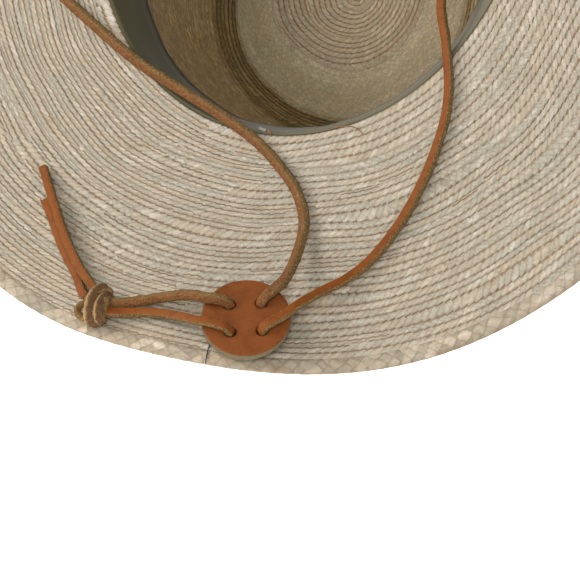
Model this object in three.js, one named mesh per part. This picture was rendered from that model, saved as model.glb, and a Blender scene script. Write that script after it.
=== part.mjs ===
import * as THREE from 'three';

// A straw rancher hat that lies on its crown, so that the side facing the head is up.
// Millimetres, +Z up. The back of the hat is towards -Y. The origin is on the surface
// that the hat lies on, under the middle of the brim.

// Crown
const HEAD_HALF_WIDTH = 84.2;
const HEAD_HALF_LENGTH = 100.6;
const CROWN_DEPTH = 115;
const STRAW = 2.2;
const RIDGE_HALF_WIDTH = 54;
const RIDGE_BACK = 62;
const RIDGE_FRONT = 76;
const RIDGE_TAPER = 0.24;
const DENT_CENTRE = new THREE.Vector2(8, -9);
const PINCH = { depth: 10, fromFront: 40, spread: 20, reach: 1.28, height: 0.3 };

// Brim
const BRIM_WIDTH = 102;
const EDGE_PLAIT_WIDTH = 6;
const SIDE_RISE = 8;
const DIP_RISE = 27;
const DIP_SPREAD = 21;
const DIP_SHORTENING = 0.55;

// Sweatband, chin lace, slider and knot
const BAND = { cloth: 1.2, topInset: 0.35, deepInset: 9.8, top: 1.3, deep: 26 };
const LACE = 3.5;
const DISC = { radius: 16.75, thickness: 3, hole: 2.35, holeOffset: 5.9 };
const DISC_CENTRE = new THREE.Vector3(20.7, -179.2, 139.9);
const DISC_UP = new THREE.Vector3(0.078, 0.347, 1).normalize();
const DISC_ACROSS = new THREE.Vector3(0.951, 0.262, -0.165).normalize();
const KNOT = { length: 12.6, radius: 7.4, flatness: 0.58 };
const KNOT_CENTRE = new THREE.Vector3(-37.4, -184.2, 138.8);
const KNOT_AXIS = new THREE.Vector3(0.99, 0.12, -0.06).normalize();

const GAP = 0.3;
const COLUMNS = 64;

// Height of the crown's inside face from the dent to the head opening. Reach is 0 at
// the middle of the dent, 1 on the ridge that the hat lies on and 2 at the opening.
const CROWN_ROWS = [
  { reach: 0, height: 26 },
  { reach: 0.28, height: 25.4 },
  { reach: 0.5, height: 23.1 },
  { reach: 0.66, height: 18.9 },
  { reach: 0.77, height: 13.6 },
  { reach: 0.86, height: 8.4 },
  { reach: 0.93, height: 4.4 },
  { reach: 0.965, height: 2.75 },
  { reach: 0.99, height: 2 },
  { reach: 1.03, height: 2 },
  { reach: 1.08, height: 3 },
  { reach: 1.15, height: 5.9 },
  { reach: 1.25, height: 12.2 },
  { reach: 1.37, height: 23.2 },
  { reach: 1.5, height: 37 },
  { reach: 1.64, height: 53.4 },
  { reach: 1.77, height: 71.6 },
  { reach: 1.89, height: 91 },
  { reach: 2, height: 108.85 },
];

// Brim section: distance out from the head opening, and drop below its upper face
const BRIM_END = BRIM_WIDTH - EDGE_PLAIT_WIDTH - GAP / 2;
const BRIM_ROWS = [
  { out: 0, drop: 5.85 },
  { out: 0, drop: 1.8 },
  { out: 0.7, drop: 0.5 },
  { out: 2.4, drop: 0 },
  ...[14, 30, 46, 62, 78, BRIM_END].map((out) => ({ out, drop: 0 })),
  ...[BRIM_END, 78, 62, 46, 30, 14, 4.6].map((out) => ({ out, drop: STRAW })),
  { out: 2.6, drop: 3.2 },
  { out: STRAW, drop: 5.85 },
];

// Section of the plait along the brim's edge, measured in from the edge
const EDGE_ROWS = [
  { in: EDGE_PLAIT_WIDTH - GAP / 2, drop: -0.1 },
  { in: 3, drop: -0.3 },
  { in: 0.6, drop: 0 },
  { in: 0, drop: 1.1 },
  { in: 0.6, drop: 2.2 },
  { in: 3, drop: 2.5 },
  { in: EDGE_PLAIT_WIDTH - GAP / 2, drop: 2.3 },
];

// Chin lace on the wearer's left: out from behind the sweatband, over the edge of the
// opening, across the brim and along the opening to the slider
const LEFT_RUN = [
  [-79.1, 12, 97.5], [-78.1, 11.6, 93.5], [-76.8, 10.4, 88.6], [-74.6, 8, 84.8], [-71.4, 4.6, 83.8],
  [-69.8, 0.8, 86], [-70.4, -2.6, 91], [-73.6, -5.8, 98.6], [-77, -9, 106.4], [-78.7, -12, 113.4],
  [-80.8, -14.2, 117], [-85, -17, 117.7], [-91.4, -21.6, 117.7], [-97.6, -28.4, 118.1],
  [-100.8, -37.6, 118.2], [-99.6, -47.2, 118.2], [-94.2, -55.2, 118.1], [-85.9, -61.4, 117.9],
  [-74.4, -68.4, 117.6], [-62.2, -75.6, 117.4], [-50.4, -81.9, 117.2], [-38.6, -86.9, 117.2],
  [-27.5, -91.3, 117.2], [-16.2, -95.8, 117.2], [-4.7, -100.9, 117.3], [4.5, -106, 118],
  [14.7, -113.7, 119.2], [24.1, -123.1, 120.7], [29.8, -134.4, 123.2], [31.4, -146.8, 128.4],
  [30.8, -160.2, 135.8],
];

// Chin lace on the wearer's right: out from behind the sweatband, up across the corner
// of the opening and down the brim to the slider
const RIGHT_RUN = [
  [78.6, 16, 97.5], [77.6, 15.6, 93.4], [76.2, 14.4, 88.6], [73.4, 11.6, 84.6], [69.2, 7.4, 83.4],
  [65.4, 2.4, 85.6], [62.6, -3.6, 90.6], [61, -10.6, 97], [60.2, -18.4, 103.4], [60, -26.6, 109.2],
  [60.5, -35.2, 113.6], [62.9, -43.4, 115.6], [66, -51, 116.7], [68.7, -59.6, 117.3],
  [71.3, -68.7, 117.4], [73, -81.6, 117.9], [72.4, -95.1, 118.5], [71, -105.7, 119.1],
  [68.7, -116.9, 119.9], [65.7, -127.1, 120.8], [61.6, -137.7, 122.4], [57, -146.7, 124.3],
  [51.3, -154.6, 127.4], [44.2, -162.3, 132.8], [38.2, -170.3, 139.3],
];

// From the slider to the knot, and from the knot to the loose ends
const LEFT_TO_KNOT = [
  [1.4, -174.5, 143.1], [-2.8, -174.4, 141.2], [-6.9, -174.9, 139.4], [-11.3, -175.9, 137.8],
  [-15.9, -177.3, 136.9], [-20.5, -178.9, 136.8], [-25, -180.6, 137.2], [-30.2, -182.2, 137.8],
];
const RIGHT_TO_KNOT = [
  [4.2, -184.5, 146.6], [0, -183.9, 144.5], [-4.6, -183.4, 142.2], [-9.7, -183.1, 140.2],
  [-15.1, -183.2, 138.6], [-20.2, -183.8, 138], [-24.8, -184.9, 138.3], [-30.2, -186.1, 139.2],
];
const LONG_TAIL = [
  [-41, -177, 136], [-47.5, -171.4, 133.7], [-52.6, -165.9, 131.7], [-57.3, -160.1, 129.8],
  [-61.7, -154.1, 128.2], [-65.5, -148.3, 127], [-68, -144.4, 126.3], [-72.1, -138.4, 123.8],
  [-76.6, -131.4, 121.6],
];
const SHORT_TAIL = [
  [-44.2, -180.3, 134.9], [-49.4, -173.5, 131.2], [-54.7, -167.7, 128.8], [-59.6, -161.8, 127],
  [-64, -155.7, 125.4], [-67.8, -150.3, 124.3], [-72, -144.7, 123.3],
];

// Way through the slider: along is the distance from the hole where the lace comes in
// towards the hole where it goes out, and rise is the height over the slider's middle
const THREAD = [
  { along: -8.4, rise: 3.9 },
  { along: -5.2, rise: 4.0 },
  { along: -2.9, rise: 3.8 },
  { along: -1.5, rise: 3.25 },
  { along: -0.5, rise: 2.4 },
  { along: 0, rise: 1.1 },
  { along: 0, rise: -1.1 },
  { along: 0.5, rise: -2.4 },
  { along: 1.5, rise: -3.25 },
  { along: 3.1, rise: -3.8 },
];

const straw = { color: '#c4b79d', roughness: 0.7, metalness: 0 };
const edgeStraw = { color: '#bdb097', roughness: 0.7, metalness: 0 };
const cloth = { color: '#5d594a', roughness: 0.95, metalness: 0 };
const laceLeather = { color: '#95633a', roughness: 0.75, metalness: 0 };
const discLeather = { color: '#86491f', roughness: 0.5, metalness: 0 };

const hat = new THREE.Group();

function add(name, geometry, finish) {
  const mesh = new THREE.Mesh(geometry, new THREE.MeshStandardMaterial(finish));
  mesh.name = name;
  hat.add(mesh);
  return mesh;
}

const columnAngles = Array.from({ length: COLUMNS }, (_, i) => (i * 2 * Math.PI) / COLUMNS);

// A point of the head opening's oval, moved out square to it
function headOval(angle, out = 0) {
  const x = HEAD_HALF_WIDTH * Math.cos(angle);
  const y = HEAD_HALF_LENGTH * Math.sin(angle);
  const outward = new THREE.Vector2(x / HEAD_HALF_WIDTH ** 2, y / HEAD_HALF_LENGTH ** 2).normalize();
  return new THREE.Vector2(x, y).addScaledVector(outward, out);
}

// Height of the brim's edge over the opening: it dips towards the face and the nape,
// which is upwards here
function edgeRise(angle) {
  const degrees = THREE.MathUtils.euclideanModulo(THREE.MathUtils.radToDeg(angle), 180) - 90;
  return SIDE_RISE + (DIP_RISE - SIDE_RISE) * Math.exp(-((degrees / DIP_SPREAD) ** 2));
}

function brimPoint(angle, out, drop) {
  const rise = edgeRise(angle);
  const share = out / BRIM_WIDTH;
  const reach = BRIM_WIDTH - (DIP_SHORTENING * rise * rise) / BRIM_WIDTH;
  const plan = headOval(angle, reach * share);
  const height = CROWN_DEPTH + rise * 0.5 * (share + share * share) - drop;
  return new THREE.Vector3(plan.x, plan.y, height);
}

// The ridge is a teardrop in plan, narrower towards the front
function ridgePoint(angle) {
  const across = Math.cos(angle);
  const ahead = Math.sin(angle);
  const taper = 1 - RIDGE_TAPER * Math.max(ahead, 0) ** 2;
  const length = ahead > 0 ? RIDGE_FRONT : RIDGE_BACK;
  return new THREE.Vector2(RIDGE_HALF_WIDTH * across * taper, length * ahead);
}

const crownSection = new THREE.SplineCurve(
  CROWN_ROWS.map((row) => new THREE.Vector2(row.reach, row.height)),
);

// How far the two finger dents at the front press the crown's wall in
function pinchAt(angle, reach) {
  const atHeight = Math.exp(-(((reach - PINCH.reach) / PINCH.height) ** 2));
  return [90 - PINCH.fromFront, 90 + PINCH.fromFront].reduce((sum, centre) => {
    const off = THREE.MathUtils.radToDeg(angle) - centre;
    const turn = THREE.MathUtils.euclideanModulo(off + 180, 360) - 180;
    return sum + PINCH.depth * atHeight * Math.exp(-((turn / PINCH.spread) ** 2));
  }, 0);
}

// A point of the crown's inside face; share runs from 0 in the dent to 1 at the opening
function crownInside(angle, share) {
  const row = crownSection.getPoint(share);
  const ridge = ridgePoint(angle);
  const rim = headOval(angle);
  const plan = row.x < 1
    ? DENT_CENTRE.clone().lerp(ridge, row.x)
    : ridge.clone().lerp(rim, row.x - 1);
  const outward = headOval(angle, 1).sub(rim);
  plan.addScaledVector(outward, -pinchAt(angle, row.x));
  return new THREE.Vector3(plan.x, plan.y, row.y);
}

// The crown's outside face is one straw away, and flat where the hat lies on it
function crownOutside(angle, share) {
  const step = 0.004;
  const around = crownInside(angle + step, share).sub(crownInside(angle - step, share));
  const low = crownInside(angle, Math.max(share - step, 0));
  const along = crownInside(angle, Math.min(share + step, 1)).sub(low);
  const outward = around.cross(along).normalize();
  const point = crownInside(angle, share).addScaledVector(outward, STRAW);
  point.z = Math.max(point.z, 0);
  return point;
}

// One closed body from rings of points. A ring of one point closes an end; without
// one, the last ring joins the first.
function bodyFromRings(rings) {
  const points = rings.flat();
  const starts = rings.map((_, i) => rings.slice(0, i).reduce((sum, ring) => sum + ring.length, 0));
  const corner = (i, j) => starts[i] + (j % rings[i].length);
  const closed = rings[0].length > 1;
  const faces = [];
  for (let i = 0; i < rings.length - (closed ? 0 : 1); i += 1) {
    const next = (i + 1) % rings.length;
    for (let j = 0; j < COLUMNS; j += 1) {
      if (rings[i].length > 1) faces.push([corner(i, j), corner(i, j + 1), corner(next, j + 1)]);
      if (rings[next].length > 1) faces.push([corner(i, j), corner(next, j + 1), corner(next, j)]);
    }
  }
  const volume = faces.reduce((sum, [a, b, c]) => {
    return sum + points[a].dot(points[b].clone().cross(points[c]));
  }, 0);
  const outward = volume > 0 ? faces : faces.map(([a, b, c]) => [a, c, b]);
  const geometry = new THREE.BufferGeometry().setFromPoints(points);
  geometry.setIndex(outward.flat());
  return geometry;
}

function crown() {
  const shares = CROWN_ROWS.map((_, i) => i / (CROWN_ROWS.length - 1)).slice(1);
  const inside = shares.map((share) => columnAngles.map((angle) => crownInside(angle, share)));
  const outside = shares.map((share) => columnAngles.map((angle) => crownOutside(angle, share)));
  const middle = crownInside(0, 0);
  const under = middle.clone().setZ(middle.z - STRAW);
  return bodyFromRings([[middle], ...inside, ...outside.reverse(), [under]]);
}

function brim() {
  return bodyFromRings(BRIM_ROWS.map((row) => {
    return columnAngles.map((angle) => brimPoint(angle, row.out, row.drop));
  }));
}

function edgePlait() {
  return bodyFromRings(EDGE_ROWS.map((row) => {
    return columnAngles.map((angle) => brimPoint(angle, BRIM_WIDTH - row.in, row.drop));
  }));
}

// The band leans in from the opening, so that its deep edge stands off the crown
function sweatband() {
  const outer = [0, 0.5, 1].map((share) => ({
    inset: THREE.MathUtils.lerp(BAND.topInset, BAND.deepInset, share),
    depth: THREE.MathUtils.lerp(BAND.top, BAND.deep, share),
  }));
  const inner = outer.map((row) => ({ inset: row.inset + BAND.cloth, depth: row.depth - BAND.cloth / 6 }));
  return bodyFromRings([...outer, ...inner.reverse()].map((row) => {
    return columnAngles.map((angle) => {
      const plan = headOval(angle, -row.inset);
      return new THREE.Vector3(plan.x, plan.y, CROWN_DEPTH - row.depth);
    });
  }));
}

// A route whose rings stand at its listed points, so that tight bends have short steps
class Route extends THREE.CatmullRomCurve3 {
  getUtoTmapping(share) {
    return share;
  }
}

function lace(points) {
  const route = new Route(points.map((point) => (Array.isArray(point) ? new THREE.Vector3(...point) : point)));
  const section = new THREE.Shape(roundPoints(LACE / 2, 8));
  return new THREE.ExtrudeGeometry(section, { steps: points.length - 1, extrudePath: route });
}

function roundPoints(radius, count, x = 0, y = 0) {
  return Array.from({ length: count }, (_, i) => {
    const angle = ((i + 0.5) * 2 * Math.PI) / count;
    return new THREE.Vector2(x + radius * Math.cos(angle), y + radius * Math.sin(angle));
  });
}

// The slider's own frame: across its face, up its face and square to it
const discAcross = DISC_ACROSS.clone().addScaledVector(DISC_UP, -DISC_ACROSS.dot(DISC_UP)).normalize();
const discAlong = DISC_UP.clone().cross(discAcross);

function onDisc(across, along, rise) {
  return DISC_CENTRE.clone()
    .addScaledVector(discAcross, across)
    .addScaledVector(discAlong, along)
    .addScaledVector(DISC_UP, rise);
}

// Down through the hole on the right, behind the slider and up through the hole on the
// left. Way in and way out are the directions that the lace has over the slider's face.
function threadDisc(along, wayIn, wayOut) {
  const hole = DISC.holeOffset;
  const place = (start, way, row) => {
    const straight = row.along > 0 ? new THREE.Vector2(Math.sign(start) * -1, 0) : way;
    return onDisc(
      start + straight.x * Math.abs(row.along),
      along + straight.y * Math.abs(row.along),
      row.rise,
    );
  };
  const down = THREAD.map((row) => place(hole, wayIn, row));
  const up = THREAD.map((row) => place(-hole, wayOut, row)).reverse();
  return [...down, onDisc(0, along, -3.9), ...up];
}

function disc() {
  const outline = new THREE.Shape(roundPoints(DISC.radius, 36));
  const offsets = [-DISC.holeOffset, DISC.holeOffset];
  outline.holes = offsets.flatMap((x) => offsets.map((y) => {
    return new THREE.Path(roundPoints(DISC.hole, 14, x, y));
  }));
  const geometry = new THREE.ExtrudeGeometry(outline, { depth: DISC.thickness, bevelEnabled: false });
  geometry.translate(0, 0, -DISC.thickness / 2);
  geometry.applyMatrix4(new THREE.Matrix4().makeBasis(discAcross, discAlong, DISC_UP));
  return geometry;
}

// The knot's outer shape: two turns side by side, pressed flat where they lie
function knot() {
  const half = KNOT.length / 2;
  const profile = [
    [0, -half], [0.55, -0.97 * half], [0.86, -0.72 * half], [1, -0.34 * half], [0.9, 0],
    [1, 0.34 * half], [0.86, 0.72 * half], [0.55, 0.97 * half], [0, half],
  ].map(([radius, height]) => new THREE.Vector2(radius * KNOT.radius, height));
  const geometry = new THREE.LatheGeometry(profile, 14);
  geometry.scale(1, 1, KNOT.flatness);
  const lift = new THREE.Vector3(0.05, 0.3, 1);
  const side = lift.clone().cross(KNOT_AXIS).normalize();
  const up = KNOT_AXIS.clone().cross(side).normalize();
  geometry.applyMatrix4(new THREE.Matrix4().makeBasis(side.negate(), KNOT_AXIS, up));
  return geometry;
}

const leftHoles = threadDisc(DISC.holeOffset, new THREE.Vector2(0.75, 0.66), new THREE.Vector2(-0.98, 0.2));
const rightHoles = threadDisc(-DISC.holeOffset, new THREE.Vector2(0.87, 0.49), new THREE.Vector2(-0.93, 0.37));

add('crown', crown(), straw);
add('brim', brim(), straw);
add('edge_plait', edgePlait(), edgeStraw);
add('sweatband', sweatband(), cloth);
add('chin_lace_left', lace([...LEFT_RUN, ...leftHoles, ...LEFT_TO_KNOT]), laceLeather);
add('chin_lace_right', lace([...RIGHT_RUN, ...rightHoles, ...RIGHT_TO_KNOT]), laceLeather);
add('slider_disc', disc(), discLeather).position.copy(DISC_CENTRE);
add('lace_knot', knot(), laceLeather).position.copy(KNOT_CENTRE);
add('lace_tail_long', lace(LONG_TAIL), laceLeather);
add('lace_tail_short', lace(SHORT_TAIL), laceLeather);

export default hat;
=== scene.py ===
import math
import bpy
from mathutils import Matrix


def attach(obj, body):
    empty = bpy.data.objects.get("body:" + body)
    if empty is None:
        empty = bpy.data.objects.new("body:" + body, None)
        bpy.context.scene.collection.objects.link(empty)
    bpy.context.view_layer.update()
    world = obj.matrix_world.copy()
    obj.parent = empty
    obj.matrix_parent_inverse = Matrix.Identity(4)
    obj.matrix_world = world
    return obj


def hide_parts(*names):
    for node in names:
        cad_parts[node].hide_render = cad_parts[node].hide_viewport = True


bl_info = {
    "name": "Straw rancher hat",
    "version": (1, 0, 0),
    "blender": (4, 5, 0),
    "location": "View3D > Sidebar > Hat",
    "description": "Builds a plaited straw hat that lies on its crown, with sweatband and lace",
    "category": "Add Mesh",
}

import bpy
import numpy as np
from bpy.props import FloatProperty, FloatVectorProperty, IntProperty, PointerProperty
from mathutils import Matrix, Vector

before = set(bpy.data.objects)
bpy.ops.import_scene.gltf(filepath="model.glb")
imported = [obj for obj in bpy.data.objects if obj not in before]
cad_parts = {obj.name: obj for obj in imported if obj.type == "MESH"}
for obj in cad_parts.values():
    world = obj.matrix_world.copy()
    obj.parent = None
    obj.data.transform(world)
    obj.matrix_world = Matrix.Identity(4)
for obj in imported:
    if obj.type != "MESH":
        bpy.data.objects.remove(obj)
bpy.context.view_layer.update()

MM = 0.001
FULL_TURN = 2 * math.pi

# Brim: rise of its edge over the opening at the sides, and what it dips by beyond that at
# the face and the nape, where it also gets shorter in plan
SIDE_RISE = 8
DIP_RISE = 19
DIP_SPREAD = 21
DIP_SHORTENING = 0.55

# Crown: half sizes of the ridge that the hat lies on, and the middle of the dent
RIDGE_HALF_WIDTH = 54
RIDGE_FRONT, RIDGE_BACK = 76.0, 62.0
RIDGE_TAPER = 0.24
DENT_X, DENT_Y = 8, -9
# Finger dents: directions in degrees, depth, spread in degrees, and reach along the section
PINCH_DIRECTIONS = (50, 130)
PINCH_DEPTH, PINCH_SPREAD = 10, 20
PINCH_REACH, PINCH_HEIGHT = 1.28, 0.3

# Section of the crown's inside face from the middle of the dent to the head opening. Reach
# is 0 in the dent, 1 on the ridge that the hat lies on and 2 at the opening; heights in mm.
CROWN_SECTION = (
    (0.0, 26.0), (0.28, 25.4), (0.5, 23.1), (0.66, 18.9), (0.77, 13.6), (0.86, 8.4), (0.93, 4.4),
    (0.965, 2.75), (0.99, 2.1), (1.03, 2.1), (1.08, 3.0), (1.15, 5.9), (1.25, 12.2), (1.37, 23.2),
    (1.5, 37.0), (1.64, 53.4), (1.77, 71.6), (1.89, 91.0), (2.0, 108.85),
)

# Rows of the brim that lie wider for a stretch: row, angle in degrees, spread, extra width
WIDE_BRIM_ROWS = (
    (0, 205, 26, 0.9), (0, 268, 14, 0.4), (1, 150, 30, 0.5), (5, 100, 18, 0.5), (6, 238, 9, 0.5),
    (10, 20, 20, 0.6), (12, 300, 12, 0.7), (14, 262, 10, 0.5), (16, 130, 18, 0.6),
    (17, 330, 14, 0.6), (20, 222, 9, 0.6), (22, 60, 16, 0.6), (23, 285, 8, 0.5),
    (26, 160, 14, 0.6), (27, 306, 12, 0.7), (29, 200, 16, 0.7),
)
WIDE_CROWN_ROWS = (
    (9, 200, 26, 0.5), (14, 300, 28, 0.5), (40, 20, 30, 0.6), (46, 255, 24, 0.6),
)
# Width of the crown's rows, in mm, by the reach along its section
CROWN_ROW_WIDTHS = (
    (0.0, 2.5), (0.55, 2.6), (0.68, 3.3), (0.9, 3.2), (0.95, 1.5), (1.08, 1.5), (1.14, 2.9),
    (2.0, 3.0),
)

# Middle lines of the chin lace, in mm, the same as the solids'
LEFT_RUN = (
    (-79.1, 12, 97.5), (-78.1, 11.6, 93.5), (-76.8, 10.4, 88.6), (-74.6, 8, 84.8),
    (-71.4, 4.6, 83.8), (-69.8, 0.8, 86), (-70.4, -2.6, 91), (-73.6, -5.8, 98.6), (-77, -9, 106.4),
    (-78.7, -12, 113.4), (-80.8, -14.2, 117), (-85, -17, 117.7), (-91.4, -21.6, 117.7),
    (-97.6, -28.4, 118.1), (-100.8, -37.6, 118.2), (-99.6, -47.2, 118.2), (-94.2, -55.2, 118.1),
    (-85.9, -61.4, 117.9), (-74.4, -68.4, 117.6), (-62.2, -75.6, 117.4), (-50.4, -81.9, 117.2),
    (-38.6, -86.9, 117.2), (-27.5, -91.3, 117.2), (-16.2, -95.8, 117.2), (-4.7, -100.9, 117.3),
    (4.5, -106, 118), (14.7, -113.7, 119.2), (24.1, -123.1, 120.7), (29.8, -134.4, 123.2),
    (31.4, -146.8, 128.4), (30.8, -160.2, 135.8),
)
RIGHT_RUN = (
    (78.6, 16, 97.5), (77.6, 15.6, 93.4), (76.2, 14.4, 88.6), (73.4, 11.6, 84.6),
    (69.2, 7.4, 83.4), (65.4, 2.4, 85.6), (62.6, -3.6, 90.6), (61, -10.6, 97), (60.2, -18.4, 103.4),
    (60, -26.6, 109.2), (60.5, -35.2, 113.6), (62.9, -43.4, 115.6), (66, -51, 116.7),
    (68.7, -59.6, 117.3), (71.3, -68.7, 117.4), (73, -81.6, 117.9), (72.4, -95.1, 118.5),
    (71, -105.7, 119.1), (68.7, -116.9, 119.9), (65.7, -127.1, 120.8), (61.6, -137.7, 122.4),
    (57, -146.7, 124.3), (51.3, -154.6, 127.4), (44.2, -162.3, 132.8), (38.2, -170.3, 139.3),
)
LEFT_TO_KNOT = (
    (1.4, -174.5, 143.1), (-2.8, -174.4, 141.2), (-6.9, -174.9, 139.4), (-11.3, -175.9, 137.8),
    (-15.9, -177.3, 136.9), (-20.5, -178.9, 136.8), (-25, -180.6, 137.2), (-30.2, -182.2, 137.8),
    (-33.4, -182.9, 138.3),
)
RIGHT_TO_KNOT = (
    (4.2, -184.5, 146.6), (0, -183.9, 144.5), (-4.6, -183.4, 142.2), (-9.7, -183.1, 140.2),
    (-15.1, -183.2, 138.6), (-20.2, -183.8, 138), (-24.8, -184.9, 138.3), (-30.2, -186.1, 139.2),
    (-33.4, -186.4, 139.4),
)
LONG_TAIL = (
    (-39.4, -178.2, 136.4), (-41, -177, 136), (-47.5, -171.4, 133.7), (-52.6, -165.9, 131.7),
    (-57.3, -160.1, 129.8), (-61.7, -154.1, 128.2), (-65.5, -148.3, 127), (-68, -144.4, 126.3),
    (-72.1, -138.4, 123.8), (-76.6, -131.4, 121.6),
)
SHORT_TAIL = (
    (-42.2, -181.4, 135.6), (-44.2, -180.3, 134.9), (-49.4, -173.5, 131.2), (-54.7, -167.7, 128.8),
    (-59.6, -161.8, 127), (-64, -155.7, 125.4), (-67.8, -150.3, 124.3), (-72, -144.7, 123.3),
)

# Way through the slider: distance from the hole, and height over the slider's middle
THREAD = (
    (-8.4, 3.9), (-5.2, 4.0), (-2.9, 3.8), (-1.5, 3.25), (-0.5, 2.4), (0.0, 1.1),
    (0.0, -1.1), (0.5, -2.4), (1.5, -3.25), (3.1, -3.8),
)
# Directions of the laces over the slider: where each comes in and where it goes out
LEFT_WAYS = ((0.75, 0.66), (-0.98, 0.2))
RIGHT_WAYS = ((0.87, 0.49), (-0.93, 0.37))
HOLE_OFFSET = 5.9
UNDER_SLIDER = -3.9
DISC_CENTRE = Vector((20.7, -179.2, 139.9))
DISC_UP = Vector((0.078, 0.347, 1.0)).normalized()
DISC_ACROSS = Vector((0.951, 0.262, -0.165))
KNOT_CENTRE = Vector((-37.4, -184.2, 138.8))
KNOT_AXIS = Vector((0.99, 0.12, -0.06)).normalized()
KNOT_UP = Vector((0.05, 0.3, 1.0))

# Name of the UV map that holds the place along and across the rows, and the numbers in it
# where the rows of the collar and the edge plait start. Rows on the hidden side of the
# crown and the brim count down from BACK_ROWS.
ROWS_MAP = "plait"
COLLAR_ROW, EDGE_ROW, BACK_ROWS = 200, 300, 1000


def colour(name, description, value):
    """A colour that the user can change."""
    return FloatVectorProperty(
        name=name, description=description, default=value, subtype="COLOR", size=3, min=0, max=1
    )


def millimetres(name, description, value):
    """A size that the user can change, in millimetres."""
    return FloatProperty(name=name, description=description, default=value, min=0.01)


class HatSizes(bpy.types.PropertyGroup):
    """Sizes of the hat in millimetres"""

    head_half_width: millimetres("Head half width", "Half the opening's width, in mm", 84.2)
    head_half_length: millimetres("Head half length", "Half the opening's length, in mm", 100.6)
    crown_depth: millimetres("Crown depth", "Height of the opening over the ridge, in mm", 115.0)
    straw: millimetres("Straw", "Thickness of the plaited straw, in mm", 2.2)
    brim_width: millimetres("Brim width", "Brim from the opening to its edge, in mm", 102.0)
    edge_width: millimetres("Edge plait", "Width of the plait along the brim's edge, in mm", 6.0)
    brim_rows: IntProperty(name="Brim rows", description="Rows of the brim", default=31, min=4)
    step: millimetres("Row step", "Height of the step from row to row, in mm", 0.26)
    strand: millimetres("Strand", "Distance from strand to strand along a row, in mm", 3.1)
    lace: millimetres("Lace", "Width of the leather lace, in mm", 3.3)
    disc_radius: millimetres("Slider radius", "Radius of the slider disc, in mm", 16.7)
    disc_thickness: millimetres("Slider thickness", "Thickness of the slider disc, in mm", 3.0)
    hole_radius: millimetres("Hole radius", "Radius of the slider's holes, in mm", 2.25)


class HatColours(bpy.types.PropertyGroup):
    """Colours of the hat"""

    straw_pink: colour("Straw", "Pinkish straw", (0.478, 0.4, 0.295))
    straw_green: colour("Green straw", "Greyish green straw", (0.42, 0.383, 0.3))
    straw_light: colour("Light straw", "Bleached strands", (0.62, 0.56, 0.48))
    straw_warm: colour("Warm straw", "Orange brown strands", (0.31, 0.165, 0.068))
    seam: colour("Seam", "Shaded seams between the rows", (0.15, 0.08, 0.036))
    cloth: colour("Sweatband", "Cloth of the sweatband", (0.13, 0.115, 0.074))
    smooth_leather: colour("Lace", "Smooth side of the lace", (0.25, 0.072, 0.013))
    worn_leather: colour("Worn lace", "Roughened smooth side of the lace", (0.24, 0.099, 0.034))
    cut_leather: colour("Lace sides", "Cut sides of the lace", (0.185, 0.107, 0.037))
    fibres: colour("Pale fibres", "Pale fibres of the cut sides", (0.42, 0.27, 0.12))
    knot: colour("Knot", "Flesh side of the knot's strap", (0.175, 0.092, 0.042))
    disc: colour("Slider", "Leather of the slider", (0.238, 0.07, 0.0165))
    disc_rim: colour("Slider rim", "Cut rim of the slider", (0.2, 0.155, 0.088))
    thread: colour("Brown thread", "Loose thread at the sweatband's joint", (0.36, 0.17, 0.055))
    cotton: colour("Pale cotton", "Folded end at the sweatband's joint", (0.32, 0.32, 0.28))
    black_thread: colour("Black thread", "Loose thread on the brim's edge", (0.02, 0.016, 0.012))


def sizes():
    return bpy.context.scene.hat_sizes


def colours():
    return bpy.context.scene.hat_colours


# ---- Shapes ----


def head_oval(angle, out):
    """Plan of the head opening, moved out square to it; also the outward direction."""
    size = sizes()
    x = size.head_half_width * np.cos(angle)
    y = size.head_half_length * np.sin(angle)
    nx = x / size.head_half_width**2
    ny = y / size.head_half_length**2
    length = np.hypot(nx, ny)
    return x + out * nx / length, y + out * ny / length, nx / length, ny / length


def edge_rise(angle):
    """Height of the brim's edge over the opening, which dips at the face and the nape."""
    degrees = np.mod(np.degrees(angle), 180) - 90
    return SIDE_RISE + DIP_RISE * np.exp(-((degrees / DIP_SPREAD) ** 2))


def brim_face(angle, out):
    """The brim's upper face, out millimetres from the head opening."""
    width = sizes().brim_width
    rise = edge_rise(angle)
    share = out / width
    x, y, _, _ = head_oval(angle, (width - DIP_SHORTENING * rise * rise / width) * share)
    z = sizes().crown_depth + rise * 0.5 * (share + share * share)
    return np.stack((x, y, z + 0 * x), axis=-1)


def turned_from(angle, centre):
    """Degrees from a direction, from -180 to 180."""
    return np.mod(np.degrees(angle) - centre + 180, 360) - 180


def section(share):
    """Reach and height of the crown's section; share runs from the dent to the opening."""
    rows = np.array(CROWN_SECTION)
    place = np.clip(share, 0, 1) * (len(rows) - 1)
    low = np.clip(np.floor(place).astype(int), 0, len(rows) - 2)
    t = (place - low)[..., None]
    before, start = rows[np.maximum(low - 1, 0)], rows[low]
    end, after = rows[low + 1], rows[np.minimum(low + 2, len(rows) - 1)]
    point = 0.5 * (
        2 * start
        + (end - before) * t
        + (2 * before - 5 * start + 4 * end - after) * t**2
        + (3 * start - before - 3 * end + after) * t**3
    )
    return point[..., 0], point[..., 1]


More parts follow.
